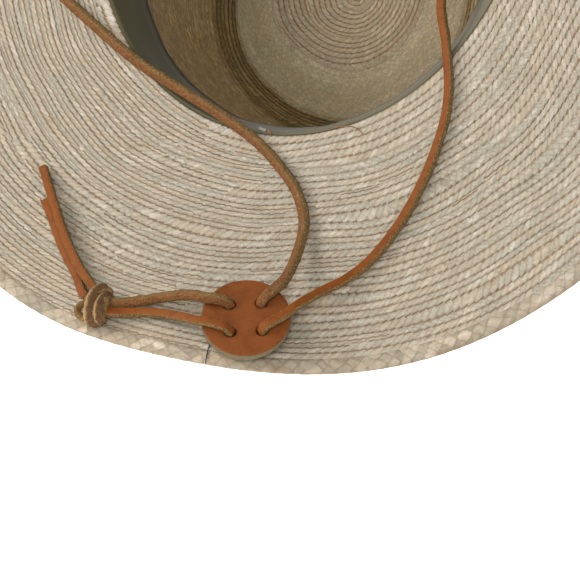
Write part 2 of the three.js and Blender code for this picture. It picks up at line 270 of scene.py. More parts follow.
def crown_face(angle, share):
    """The crown's inside face."""
    reach, height = section(share)
    ahead = np.maximum(np.sin(angle), 0)
    ridge_x = RIDGE_HALF_WIDTH * np.cos(angle) * (1 - RIDGE_TAPER * ahead**2)
    ridge_y = np.where(np.sin(angle) > 0, RIDGE_FRONT, RIDGE_BACK) * np.sin(angle)
    rim_x, rim_y, nx, ny = head_oval(angle, 0)
    inner, outer = np.minimum(reach, 1), np.maximum(reach - 1, 0)
    x = DENT_X + (ridge_x - DENT_X) * inner + (rim_x - ridge_x) * outer
    y = DENT_Y + (ridge_y - DENT_Y) * inner + (rim_y - ridge_y) * outer
    pinch = 0
    for centre in PINCH_DIRECTIONS:
        across = np.exp(-((turned_from(angle, centre) / PINCH_SPREAD) ** 2))
        along = np.exp(-(((reach - PINCH_REACH) / PINCH_HEIGHT) ** 2))
        pinch = pinch + PINCH_DEPTH * across * along
    return np.stack((x - pinch * nx, y - pinch * ny, height + 0 * x), axis=-1)


def lifted(face, angle, place, step, height):
    """Points of a face, moved along its normal. Positive is towards the head."""
    turn = 0.002
    around = face(angle + turn, place) - face(angle - turn, place)
    along = face(angle, place + step) - face(angle, place - step)
    normal = np.cross(around, along)
    normal /= np.maximum(np.linalg.norm(normal, axis=-1, keepdims=True), 1e-9)
    up = np.sign(np.sum(normal[..., 2]))
    height = np.asarray(height, dtype=float)
    return face(angle, place) + normal * up * (height[:, None] if height.ndim else height)


def smooth_wave(angle, seed, waves=9, low=2):
    """A gentle closed wave around the hat, about one high."""
    rng = np.random.default_rng(seed)
    total = np.zeros_like(angle)
    for turn in range(low, low + waves):
        total += rng.normal() / math.sqrt(turn) * np.cos(turn * angle + rng.uniform(0, FULL_TURN))
    return total * 0.6


# The narrowest that a row gets, as a share of the usual width
NARROWEST_ROW = 0.55


def row_lines(count, angle, wide, seed, uneven, waves=14):
    """Shares from 0 to 1 where the rows start, for each angle; rows change width around."""
    widths = []
    for row in range(count):
        width = 1 + uneven * smooth_wave(angle, seed + row, waves)
        for wide_row, centre, spread, extra in wide:
            if wide_row == row:
                width = width + extra * np.exp(-((turned_from(angle, centre) / spread) ** 4))
        widths.append(np.maximum(width, NARROWEST_ROW))
    edges = np.cumsum(np.array(widths), axis=0)
    return np.vstack((np.zeros_like(angle), edges / edges[-1]))


# ---- Meshes ----


def put(name, mesh, material, slot, *nodes):
    """Links a piece into the scene; it rides on the hat and stands for CAD nodes."""
    piece = bpy.data.objects.new(name, mesh)
    bpy.context.scene.collection.objects.link(piece)
    mesh.materials.append(material)
    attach(piece, "root")
    if nodes:
        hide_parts(*nodes)
    return piece


# The middle of the smooth side, in the UV map: a capped end looks like that side
CAP_PLACE = [0.02, 0.0]


def smooth_shading(mesh):
    mesh.polygons.foreach_set("use_smooth", np.ones(len(mesh.polygons), dtype=bool))


def mesh_points(mesh):
    points = np.empty(len(mesh.vertices) * 3)
    mesh.vertices.foreach_get("co", points)
    return points.reshape(-1, 3)


def ring_mesh(name, rings, bands, closed):
    """One closed skin from rings of points in mm.

    bands holds, for each pair of rings, the strands in a turn and the row's place at both
    rings. Where closed is false, the first and last ring end in a cap of one point.
    """
    points = np.concatenate(rings) * MM
    count = len(rings[0])
    starts = np.arange(len(rings)) * count
    j = np.arange(count)
    faces, uvs = [], []
    pairs = len(rings) if closed else len(rings) - 1
    for i in range(pairs):
        a, b = starts[i], starts[(i + 1) % len(rings)]
        quad = np.stack((a + j, a + (j + 1) % count, b + (j + 1) % count, b + j), axis=1)
        strands, low, high = bands[i]
        left, right = j / count * strands, (j + 1) / count * strands
        zero = np.zeros(count)
        low, high = zero + low, zero + high
        uv = np.stack((left, low, right, low, right, high, left, high), axis=1)
        faces.append(quad)
        uvs.append(uv.reshape(-1, 2))
    quads = np.concatenate(faces)
    p = points[quads]
    volume = np.sum(np.cross(p[:, 0], p[:, 1]) * p[:, 2])
    volume += np.sum(np.cross(p[:, 0], p[:, 2]) * p[:, 3])
    corners = np.concatenate(uvs).reshape(-1, 4, 2)
    if volume < 0:
        quads, corners = quads[:, ::-1], corners[:, ::-1]
    all_faces = quads.tolist()
    uv_list = corners.reshape(-1, 2)
    if not closed:
        caps = [(starts[0], rings[0]), (starts[-1], rings[-1])]
        centres = [np.mean(ring, axis=0) * MM for _, ring in caps]
        extra = []
        for index, (start, _) in enumerate(caps):
            middle = len(points) + index
            forward = (index == 0) == (volume > 0)
            for k in range(count):
                a, b = int(start + k), int(start + (k + 1) % count)
                all_faces.append((b, a, middle) if forward else (a, b, middle))
                extra.append([CAP_PLACE] * 3)
        points = np.concatenate((points, np.array(centres)))
        uv_list = np.concatenate((uv_list, np.array(extra).reshape(-1, 2)))
    mesh = bpy.data.meshes.new(name)
    mesh.from_pydata(points.tolist(), [], all_faces)
    layer = mesh.uv_layers.new(name=ROWS_MAP)
    layer.data.foreach_set("uv", uv_list.astype(np.float32).ravel())
    smooth_shading(mesh)
    mesh.update()
    return mesh


def between(first, second, start, end, t):
    """The point at t on the way from first, at start, to second, at end."""
    return (end - t) / (end - start) * first + (t - start) / (end - start) * second


def curve_points(points, spacing):
    """A smooth line through points in mm, in even steps, and its length."""
    p = np.array([tuple(point) for point in points], dtype=float)
    p = np.vstack((2 * p[0] - p[1], p, 2 * p[-1] - p[-2]))
    fine = []
    for i in range(1, len(p) - 2):
        a, b, c, d = p[i - 1 : i + 3]
        steps = [max(np.linalg.norm(v), 1e-6) ** 0.5 for v in (b - a, c - b, d - c)]
        knots = np.cumsum([0] + steps)
        t = np.linspace(knots[1], knots[2], 24, endpoint=i == len(p) - 3)[:, None]
        ab = between(a, b, knots[0], knots[1], t)
        bc = between(b, c, knots[1], knots[2], t)
        cd = between(c, d, knots[2], knots[3], t)
        abc = between(ab, bc, knots[0], knots[2], t)
        bcd = between(bc, cd, knots[1], knots[3], t)
        fine.append(between(abc, bcd, knots[1], knots[2], t))
    line = np.concatenate(fine)
    run = np.concatenate(([0], np.cumsum(np.linalg.norm(np.diff(line, axis=0), axis=1))))
    even = np.linspace(0, run[-1], max(int(round(run[-1] / spacing)), 4) + 1)
    return np.stack([np.interp(even, run, line[:, k]) for k in range(3)], axis=1), run[-1]


# A strip's section: points around it, and how square its corners are
STRIP_POINTS = 20
SQUARENESS = 5.0
# How unevenly a strip is cut, as a share of its size
ROUGHNESS = 0.045
# How much a strip turns back to its smooth side up, for each step along it
KEEP_UP = 0.25


def lace_mesh(name, points, twists, width, thickness, spacing=1.1, across_to=None):
    """A leather strip along a line, with a ring of points at each spacing; sizes in mm.

    twists gives the turn of its smooth side from straight up, in degrees, at shares of its
    length. Its width can be kept along across_to.
    """
    line, length = curve_points(points, spacing)
    tangent = np.gradient(line, axis=0)
    tangent /= np.linalg.norm(tangent, axis=1, keepdims=True)
    shares = np.linspace(0, 1, len(line))
    turn = np.radians(np.interp(shares, [t[0] for t in twists], [t[1] for t in twists]))
    around = np.linspace(0, FULL_TURN, STRIP_POINTS, endpoint=False) + math.pi / STRIP_POINTS
    cosine, sine = np.cos(around), np.sin(around)
    radius = (np.abs(cosine) ** SQUARENESS + np.abs(sine) ** SQUARENESS) ** (-1 / SQUARENESS)
    across, above = cosine * radius * width / 2, sine * radius * thickness / 2
    up = np.array((0.0, 0.0, 1.0))
    rng = np.random.default_rng(len(line))
    rough = rng.normal(0, ROUGHNESS, (len(line), STRIP_POINTS))
    rings = []
    for i, t in enumerate(tangent):
        flat = np.array((0.0, 0.0, 1.0)) - t * t[2]
        up = up - t * np.dot(up, t)
        up /= np.linalg.norm(up)
        up = up + KEEP_UP * (1 - abs(t[2])) ** 2 * flat
        if across_to is not None:
            up = np.cross(np.array(across_to), t)
        up /= np.linalg.norm(up)
        side = np.cross(t, up)
        a = np.cos(turn[i]) * up + np.sin(turn[i]) * side
        b = np.cross(t, a)
        # The smooth side stays smooth
        swell = (1 + rough[i] * (sine < 0.6))[:, None]
        rings.append(line[i] + (across[:, None] * b + above[:, None] * a) * swell)
    run = np.linspace(0, length, len(line))
    bands = [(1.0, run[i], run[i + 1]) for i in range(len(line) - 1)]
    return ring_mesh(name, rings, bands, closed=False), line, length


# ---- Materials ----

# Colour sockets of the Mix node
MIX_FIRST, MIX_SECOND, MIX_RESULT = 6, 7, 2
FLOAT, COLOUR, VECTOR = "NodeSocketFloat", "NodeSocketColor", "NodeSocketVector"
GREY = (0.5, 0.5, 0.5, 1.0)
WHITE = (1.0, 1.0, 1.0, 1.0)
GROUP_OUTPUTS = (("Color", COLOUR), ("Roughness", FLOAT), ("Height", FLOAT))


class Signal:
    """A node's output, which can be added to, taken from and multiplied."""

    def __init__(self, wiring, socket):
        self.wiring = wiring
        self.socket = socket

    def __add__(self, other):
        return self.wiring.math("ADD", self, other)

    def __radd__(self, other):
        return self.wiring.math("ADD", other, self)

    def __sub__(self, other):
        return self.wiring.math("SUBTRACT", self, other)

    def __rsub__(self, other):
        return self.wiring.math("SUBTRACT", other, self)

    def __mul__(self, other):
        return self.wiring.math("MULTIPLY", self, other)

    def __rmul__(self, other):
        return self.wiring.math("MULTIPLY", other, self)


class Wiring:
    """Adds nodes to a material or group and joins their sockets."""

    def __init__(self, tree):
        self.tree = tree

    def join(self, value, socket):
        if isinstance(value, Signal):
            self.tree.links.new(value.socket, socket)
        elif value is not None:
            socket.default_value = value

    def node(self, kind, inputs=(), **settings):
        """A new node; its inputs are given by place or by name."""
        node = self.tree.nodes.new(kind)
        for key, value in settings.items():
            setattr(node, key, value)
        pairs = inputs.items() if isinstance(inputs, dict) else enumerate(inputs)
        for key, value in pairs:
            self.join(value, node.inputs[key])
        return node

    def out(self, kind, inputs=(), output=0, **settings):
        """One output of a new node."""
        return Signal(self, self.node(kind, inputs, **settings).outputs[output])

    def math(self, operation, *values, clamp=False):
        return self.out("ShaderNodeMath", values, operation=operation, use_clamp=clamp)

    def ramp(self, value, low, high, start=0.0, end=1.0):
        """A smooth step from start, where value is low, to end, where it is high."""
        inputs = {"Value": value, "From Min": low, "From Max": high}
        inputs.update({"To Min": start, "To Max": end})
        return self.out("ShaderNodeMapRange", inputs, "Result", interpolation_type="SMOOTHSTEP")

    def mix(self, factor, first, second, blend="MIX"):
        inputs = {"Factor": factor, MIX_FIRST: first, MIX_SECOND: second}
        return self.out("ShaderNodeMix", inputs, MIX_RESULT, data_type="RGBA", blend_type=blend)

    def multiplied(self, base, tint):
        return self.mix(1.0, base, tint, "MULTIPLY")

    def colour(self, red, green, blue):
        return self.out("ShaderNodeCombineColor", (red, green, blue))

    def toned(self, base, tone):
        """A colour made lighter or darker."""
        return self.multiplied(base, self.colour(tone, tone, tone))

    def vector(self, x, y=0.0, z=0.0):
        return self.out("ShaderNodeCombineXYZ", (x, y, z))

    def parts(self, vector):
        outputs = self.node("ShaderNodeSeparateXYZ", (vector,)).outputs
        return [Signal(self, part) for part in outputs]

    def noise(self, vector, scale, detail=2.0, roughness=0.5):
        inputs = {"Vector": vector, "Scale": scale, "Detail": detail, "Roughness": roughness}
        return self.out("ShaderNodeTexNoise", inputs, "Fac")

    def chance(self, x, y):
        """A number from 0 to 1 that is the same wherever x and y are the same."""
        inputs = {"Vector": self.vector(x, y)}
        return self.out("ShaderNodeTexWhiteNoise", inputs, "Value", noise_dimensions="2D")

    def place(self):
        """The place on the hat in metres; +X is its right side."""
        return self.out("ShaderNodeTexCoord", output="Object")

    def rows_place(self):
        """The place along and across the rows, the cloth or the strip."""
        return self.out("ShaderNodeUVMap", output="UV", uv_map=ROWS_MAP)


def shader_group(name, inputs, build):
    """A shader node group, made once. build takes its wiring and its inputs by name, and
    gives the colour, the roughness and the height."""
    if name in bpy.data.node_groups:
        return bpy.data.node_groups[name]
    tree = bpy.data.node_groups.new(name, "ShaderNodeTree")
    for label, kind, value in inputs:
        socket = tree.interface.new_socket(label, in_out="INPUT", socket_type=kind)
        if value is not None:
            socket.default_value = value
    for label, kind in GROUP_OUTPUTS:
        tree.interface.new_socket(label, in_out="OUTPUT", socket_type=kind)
    w = Wiring(tree)
    sources = tree.nodes.new("NodeGroupInput").outputs
    source = {label: Signal(w, sources[label]) for label, _, _ in inputs}
    sink = tree.nodes.new("NodeGroupOutput").inputs
    for (label, _), value in zip(GROUP_OUTPUTS, build(w, source)):
        w.join(value, sink[label])
    return tree


def build_plait(w, source):
    """Slanted strands in each row, crossed in some rows, with a stepped seam between rows."""
    strand, whole_rows, _ = w.parts(source["Place"])

    def stretched(row, seed):
        """The place along a row; each row starts elsewhere and its strands differ in width."""
        start = w.chance(row, seed) * 40.0
        wander = w.noise(w.vector(strand * 0.3, row * 1.7, seed), 1.0, 2.0)
        return strand + start + wander * 2.2

    def stretch(row, share, seed, pace=0.05):
        """One on stretches of a row that cover the given share of it, and zero elsewhere."""
        where = w.vector(strand * pace, row * 3.7, seed)
        return w.math("LESS_THAN", w.ramp(w.noise(where, 1.0, 2.0), 0.3, 0.7), share)

    def from_edge(share):
        return w.math("MINIMUM", share, 1.0 - share)

    # Where the rows lie closer together, there are three of them in the room of two
    pair = w.math("FLOOR", whole_rows * 0.5)
    dense = stretch(pair, source["Dense Rows"], 0.0)
    times = dense * 0.5 + 1.0
    row_place = whole_rows * times + dense * 500.0
    row, share = w.math("FLOOR", row_place), w.math("FRACT", row_place)

    # Strands slant one way. Where a row lies open, every other one slants the other way.
    along = stretched(row, 3.5)
    across = share * source["Slant"]
    first, second = along + across, along - across
    first_cell, second_cell = w.math("FLOOR", first), w.math("FLOOR", second)
    first_share, second_share = w.math("FRACT", first), w.math("FRACT", second)
    parity = w.math("MODULO", w.math("ABSOLUTE", first_cell - second_cell), 2.0)
    lies_open = stretch(row, source["Crossed Rows"], 6.0, 0.035)
    on_top = parity * lies_open

    def choose(low, high):
        return on_top * (high - low) + low

    cell = choose(first_cell, second_cell + 71.0)
    beside = choose(first_share, second_share)
    ahead = choose(second_share, first_share)
    luck = w.chance(cell, row + 0.37)
    luck_too = w.chance(cell + 0.5, row + 9.7)

    # Colour: soft patches, then each strand, then fibres along it and fine speckles, with painted
    # shade along the strands' edges
    def patches(pace, rows_pace, seed):
        return w.noise(w.vector(along * pace, whole_rows * rows_pace, seed), 1.0, 5.0, 0.68)

    cool = patches(0.14, 0.5, 0.0) + luck * 0.07 + lies_open * 0.1
    base = w.mix(w.ramp(cool, 0.42, 0.72), source["Straw"], source["Green Straw"])
    pale = w.ramp(patches(0.26, 1.2, 4.0) + luck_too * 0.12, 0.55, 0.82) * source["Patchiness"]
    base = w.mix(pale * 0.65, base, source["Light Straw"])
    warm = w.ramp(patches(0.35, 1.4, 9.0) + luck * -0.1, 0.46, 0.72) * source["Patchiness"]
    base = w.mix(warm * 0.4, base, source["Warm Straw"])
    fibre = w.noise(w.vector(beside * 6.0, ahead * 0.9, cell * 3.1), 1.0, 3.0, 0.6)
    speckle = w.noise(w.vector(along * 4.0, row_place * 4.0), 1.0, 3.0, 0.6)
    side = from_edge(beside)
    tone = (luck_too - 0.5) * source["Strand Contrast"] + 0.04 + fibre * 0.25
    # Painted shade: each strand is darker along its edges, as if rounded
    tone = tone + speckle * 0.6 + w.ramp(side, 0.0, 0.35, -0.55, -0.42)
    base = w.toned(base, tone * source["Mottling"] + 1.0)

    # Edges of the strands
    crossing = w.ramp(from_edge(ahead), 0.09, 0.0) * w.math("GREATER_THAN", on_top, 0.5)
    line = w.math("MAXIMUM", w.ramp(side, 0.09, 0.0), crossing)
    drawn = w.ramp(w.chance(cell + 3.1, row), 0.2, 1.0, 0.08, 0.42) + lies_open * 0.2
    base = w.mix(line * (drawn * source["Strand Borders"]), base, source["Seam"])

    # The seam between two rows steps a little at each strand and is darkest at the steps, where the
    # extra darkness is painted shade of the strand diving under
    seam_row = w.math("ROUND", row_place)
    step = w.math("FRACT", stretched(seam_row, 8.5))
    jitter = w.noise(w.vector(strand * 0.5, seam_row * 2.3), 1.0, 2.0)
    stair = (step - 0.5) * source["Zigzag"] + (jitter - 0.5) * 0.2
    near = w.math("ABSOLUTE", row_place - seam_row + stair)
    corner = w.ramp(from_edge(step), 0.2, 0.0)
    width = source["Seam Width"] * (times * w.ramp(corner, 0.0, 1.0, 0.85, 1.25))
    seam = w.ramp(near, width, width * 0.3)
    warmth = w.ramp(w.noise(w.vector(strand * 0.11, seam_row * 3.1), 1.0, 3.0), 0.34, 0.56)
    seam_tone = w.mix(warmth * source["Warm Seams"], source["Seam"], source["Warm Straw"])
    hidden = stretch(seam_row, source["Crossed Rows"] * 0.5, 6.0, 0.035)
    strength = (0.85 + corner * 0.15) * (1.0 - hidden * 0.65) * source["Seam Strength"]

    # Painted shade: a row is darker towards both its seams, as if rounded like a rope and lying
    # under the next row's lip, and this shade goes with the seams
    shade = w.ramp(share, 0.6, 1.0, 1.0, 0.92) * w.ramp(near, 0.05, 0.32, 0.86, 1.02)
    clear = w.math("SUBTRACT", 1.0, source["Seam Strength"], clamp=True)
    shade = shade + clear * (1.0 - shade)
    base = w.mix(seam * strength, w.toned(base, shade), seam_tone)

    # Relief: strands are rounded across, with fibres along them, and the seams are grooves
    rounding = w.math("POWER", side * 2.0, 0.45) * source["Strand Borders"]
    relief = rounding * 0.6 + fibre * 0.3 + luck * 0.12 - seam * strength * 1.3
    return w.multiplied(base, source["Tint"]), w.ramp(fibre, 0.2, 0.8, 0.5, 0.72), relief


def plait_group():
    inputs = (
        ("Place", VECTOR, None), ("Slant", FLOAT, 0.6), ("Crossed Rows", FLOAT, 0.3),
        ("Dense Rows", FLOAT, 0.0), ("Zigzag", FLOAT, 0.14), ("Seam Width", FLOAT, 0.1),
        ("Seam Strength", FLOAT, 1.0), ("Strand Borders", FLOAT, 1.0), ("Warm Seams", FLOAT, 0.5),
        ("Patchiness", FLOAT, 1.0), ("Mottling", FLOAT, 1.0), ("Strand Contrast", FLOAT, 0.08),
        ("Straw", COLOUR, GREY), ("Green Straw", COLOUR, GREY), ("Light Straw", COLOUR, GREY),
        ("Warm Straw", COLOUR, GREY), ("Seam", COLOUR, GREY), ("Tint", COLOUR, WHITE),
    )
    return shader_group("Plaited straw", inputs, build_plait)


def build_leather(w, source):
    """Grained leather, and the speckled fibres of its cut or roughened sides."""
    place, smooth, cut_tone = source["Place"], source["Top"], source["Cut"]
    blotch = w.noise(place, 240.0, 3.0)
    grain = w.noise(place, 2300.0, 4.0, 0.6)
    nap = w.noise(place, 1500.0, 5.0, 0.75)
    worn = w.multiplied(smooth, (0.62, 0.58, 0.56, 1.0))
    top = w.mix(w.ramp(blotch, 0.4, 0.72, 0.0, 0.55), smooth, worn)
    pits = w.multiplied(smooth, (0.34, 0.34, 0.36, 1.0))
    top = w.mix(w.ramp(nap, 0.5, 0.62) * source["Nap"], top, pits)
    top = w.mix(w.ramp(nap, 0.45, 0.36) * source["Nap"] * 0.7, top, source["Fibres"])
    cut = w.mix(w.ramp(nap, 0.5, 0.62), cut_tone, source["Fibres"])
    pits = w.multiplied(cut_tone, (0.45, 0.45, 0.45, 1.0))
    cut = w.mix(w.ramp(nap, 0.44, 0.36), cut, pits)
    tone = w.ramp(grain, 0.25, 0.75, 0.88, 1.1)
    coarse = w.math("MAXIMUM", source["Cut Side"], source["Nap"])
    both = w.toned(w.mix(source["Cut Side"], top, cut), tone)
    return both, 0.56 + coarse * 0.36, grain * 0.35 + coarse * nap


def leather_group():
    inputs = (
        ("Place", VECTOR, None), ("Cut Side", FLOAT, 0.0), ("Nap", FLOAT, 0.0),
        ("Top", COLOUR, GREY), ("Cut", COLOUR, GREY), ("Fibres", COLOUR, GREY),
    )
    return shader_group("Grained leather", inputs, build_leather)


def material(name, specular=0.5, sheen=0.0):
    """A new material, its wiring and its shader's inputs."""
    result = bpy.data.materials.new(name)
    result.use_nodes = True
    shader = result.node_tree.nodes["Principled BSDF"].inputs
    shader["Specular IOR Level"].default_value = specular
    shader["Sheen Weight"].default_value = sheen
    shader["Sheen Roughness"].default_value = 0.5
    return result, Wiring(result.node_tree), shader


def add_relief(w, shader, height, depth):
    """Bumps a surface; depth is in mm."""
    inputs = {"Height": height, "Distance": depth * MM, "Strength": 1.0}
    w.join(w.out("ShaderNodeBump", inputs, "Normal"), shader["Normal"])


def finish_with(w, shader, tree, values, depth):
    """Lets a group colour a surface, with relief of depth in mm."""
    outputs = w.node("ShaderNodeGroup", values, node_tree=tree).outputs
    w.join(Signal(w, outputs["Color"]), shader["Base Color"])
    w.join(Signal(w, outputs["Roughness"]), shader["Roughness"])
    add_relief(w, shader, Signal(w, outputs["Height"]), depth)


def straw_material(name, depth, tint, right_painted_light_tint=None, dense_rows=0.0, dense_left=0.0, **shares):
    """Plaited straw with relief of depth in mm; shares are the group's inputs.

    A share, and each channel of a tint, is a number or a table of rows and values.
    right_painted_light_tint is the tint on the hat's right side, which is lighter there as painted
    light, and dense_left is what dense_rows grows by on its left side.
    """
    if name in bpy.data.materials:
        return bpy.data.materials[name]
    result, w, shader = material(name, specular=0.3)
    look = colours()
    rows_place = w.rows_place()
    row = w.parts(rows_place)[1]
    x = w.parts(w.place())[0]

    def by_row(value):
        if isinstance(value, (int, float)):
            return value
        total = value[0][1]
        for (start, before), (end, after) in zip(value, value[1:]):
            total = total + w.ramp(row, start, end, 0.0, after - before)
        return total

    def cast(channels):
        return w.colour(*(by_row(channel) for channel in channels))

    values = {key.replace("_", " ").title(): by_row(value) for key, value in shares.items()}
    values["Place"] = rows_place
    values["Tint"] = cast(tint)
    # Painted light: towards the hat's right side the tint turns into the right side's lighter tint
    if right_painted_light_tint:
        values["Tint"] = w.mix(w.ramp(x, 0.0, 0.06), values["Tint"], cast(right_painted_light_tint))
    values["Dense Rows"] = dense_rows
    if dense_left:
        values["Dense Rows"] = dense_rows + w.ramp(x, 0.04, -0.07, 0.0, dense_left)
    tones = {
        "Straw": look.straw_pink, "Green Straw": look.straw_green, "Light Straw": look.straw_light,
        "Warm Straw": look.straw_warm, "Seam": look.seam,
    }
    values.update((label, (*tone, 1.0)) for label, tone in tones.items())
    finish_with(w, shader, plait_group(), values, depth)
    return result


def strip_sides(w, place, nap):
    """Mask of a strip's cut sides. Its smooth side lies a quarter around it, and frays."""
    turn = w.parts(w.rows_place())[0]
    fray = (w.noise(place, 900.0, 4.0) - 0.5) * (0.1 + 0.25 * nap)
    off = w.math("ABSOLUTE", turn + fray - 0.225)
    return w.ramp(off, 0.105 - 0.05 * nap, 0.135 + 0.06 * nap)


def disc_sides(w, place):
    """Mask of the slider's cut rim, which lies further out than its face, and of its back."""
    off = w.out("ShaderNodeVectorMath", (place, tuple(DISC_CENTRE * MM)), operation="SUBTRACT")
    high = w.out("ShaderNodeVectorMath", (off, tuple(DISC_UP)), "Value", operation="DOT_PRODUCT")
    out = w.out("ShaderNodeVectorMath", (off,), "Value", operation="LENGTH")
    flat = w.math("SQRT", out * out - high * high)
    rim = sizes().disc_radius * MM
    cut_rim = w.ramp(flat, rim - 0.00035, rim - 0.0001)
    back = w.ramp(high, -0.0009, -0.0012)
    return w.math("MAXIMUM", cut_rim, back)


def leather_material(name, top, cut, fibres, nap=0.0, disc=False, depth=0.16):
    """Leather of a strip or of the slider disc, with relief of depth in mm."""
    if name in bpy.data.materials:
        return bpy.data.materials[name]
    result, w, shader = material(name, specular=0.15)
    place = w.place()
    values = {
        "Place": place, "Nap": nap,
        "Cut Side": disc_sides(w, place) if disc else strip_sides(w, place, nap),
        "Top": (*top, 1.0), "Cut": (*cut, 1.0), "Fibres": (*fibres, 1.0),
    }
    finish_with(w, shader, leather_group(), values, depth)
    return result


def cloth_material():
    """Twilled cloth, with painted shade that makes it darker and warmer towards the hat's left side
    and painted light that makes it lighter towards its right side.
    """
    if "Sweatband cloth" in bpy.data.materials:
        return bpy.data.materials["Sweatband cloth"]
    result, w, shader = material("Sweatband cloth", specular=0.2, sheen=0.15)
    around, across, _ = w.parts(w.rows_place())
    twill = w.math("SINE", (around + across) * (FULL_TURN / 0.9))
    thread = w.math("SINE", around * (FULL_TURN / 0.55))
    weave = twill * 0.3 + thread * 0.2
    blotch = w.noise(w.vector(around * 0.02, across * 0.05), 1.0, 3.0)
    x = w.parts(w.place())[0]
    tone = weave * 0.12 + w.ramp(blotch, 0.3, 0.7, 0.86, 1.08)
    # Painted shade towards the hat's left side and painted light towards its right side
    tone = tone * w.ramp(x, -0.06, 0.06, 0.72, 1.45)
    # The painted shade on the left side is also warmer, with less blue
    blue = tone * w.ramp(x, -0.06, 0.02, 0.66, 1.0)
    w.join(w.multiplied((*colours().cloth, 1.0), w.colour(tone, tone, blue)), shader["Base Color"])
    shader["Roughness"].default_value = 0.92
    add_relief(w, shader, weave, 0.08)
    return result


def thread_material(name, tint):
    """Spun thread with darker places."""
    if name in bpy.data.materials:
        return bpy.data.materials[name]
    result, w, shader = material(name, specular=0.3)
    light = (*tint, 1.0)
    dark = w.multiplied(light, (0.6, 0.6, 0.6, 1.0))
    w.join(w.mix(w.noise(w.place(), 1500.0, 2.0), dark, light), shader["Base Color"])
    shader["Roughness"].default_value = 0.8
    return result


# ---- Pieces ----

# Section of one row on each side: place in the row, and height in row steps
ROW_FOOT = -0.9
ROW_TOP = ((0.0, ROW_FOOT), (0.09, -0.05), (0.5, -0.25), (0.92, -0.75))
ROW_BACK = ((0.0, ROW_FOOT), (0.12, -0.05), (0.6, -0.4))
# Share of a row that the narrow faces at the skin's two borders show
BORDER_SHARE = 0.02


def plaited_body(name, angle, face, lines, first_row, strands, step, relief=1.0):
    """A closed skin of plait rows on both sides of a face.

    lines has one more entry than there are rows, strands gives the strands in a turn for
    each row, step is a small step along the face, and relief is the share of the usual
    step from row to row that each row rises by.
    """
    rows = len(lines) - 1
    thickness = sizes().straw
    steps_up = sizes().step * (np.ones(rows) * relief)
    rings, bands = [], []
    for row in range(rows):
        low, high = lines[row], lines[row + 1]
        for index, (share, height) in enumerate(ROW_TOP):
            place = low + (high - low) * share
            rings.append(lifted(face, angle, place, step, height * steps_up[row]))
            after = ROW_TOP[index + 1][0] if index + 1 < len(ROW_TOP) else 1.0
            bands.append((strands[row], first_row + row + share, first_row + row + after))
    rings.append(lifted(face, angle, lines[rows], step, ROW_FOOT * steps_up[-1]))
    bands.append((strands[-1], first_row + rows - BORDER_SHARE, first_row + rows))
    for row in reversed(range(rows)):
        low, high = lines[row], lines[row + 1]
        for index, (share, height) in enumerate(ROW_BACK):
            place = high - (high - low) * share
            rings.append(lifted(face, angle, place, step, -thickness - height * steps_up[row]))
            after = ROW_BACK[index + 1][0] if index + 1 < len(ROW_BACK) else 1.0
            number = BACK_ROWS - first_row - row
            bands.append((strands[row], number + share, number + after))
    rings.append(lifted(face, angle, lines[0], step, -thickness - ROW_FOOT * steps_up[0]))
    bands.append((strands[0], first_row + 0.0, first_row + BORDER_SHARE))
    return ring_mesh(name, rings, bands, closed=True)


def strands_at(face, angle, lines):
    """Whole strands in a turn for each row."""
    counts = []
    for row in range(len(lines) - 1):
        ring = face(angle, (lines[row] + lines[row + 1]) / 2)
        length = np.sum(np.linalg.norm(ring - np.roll(ring, 1, axis=0), axis=1))
        counts.append(max(round(length / sizes().strand), 3))
    return counts


# Camera over the nape of the hat: its three axes and its place, in metres
CAMERA_PLACE = (
    (0.96, -0.1813, 0.2135, 0.2479),
    (0.2263, 0.9512, -0.2098, -0.3749),
    (-0.1651, 0.2497, 0.9541, 1.0939),
    (0, 0, 0, 1),
)
FOCAL_LENGTH, SENSOR_WIDTH = 167.33, 36


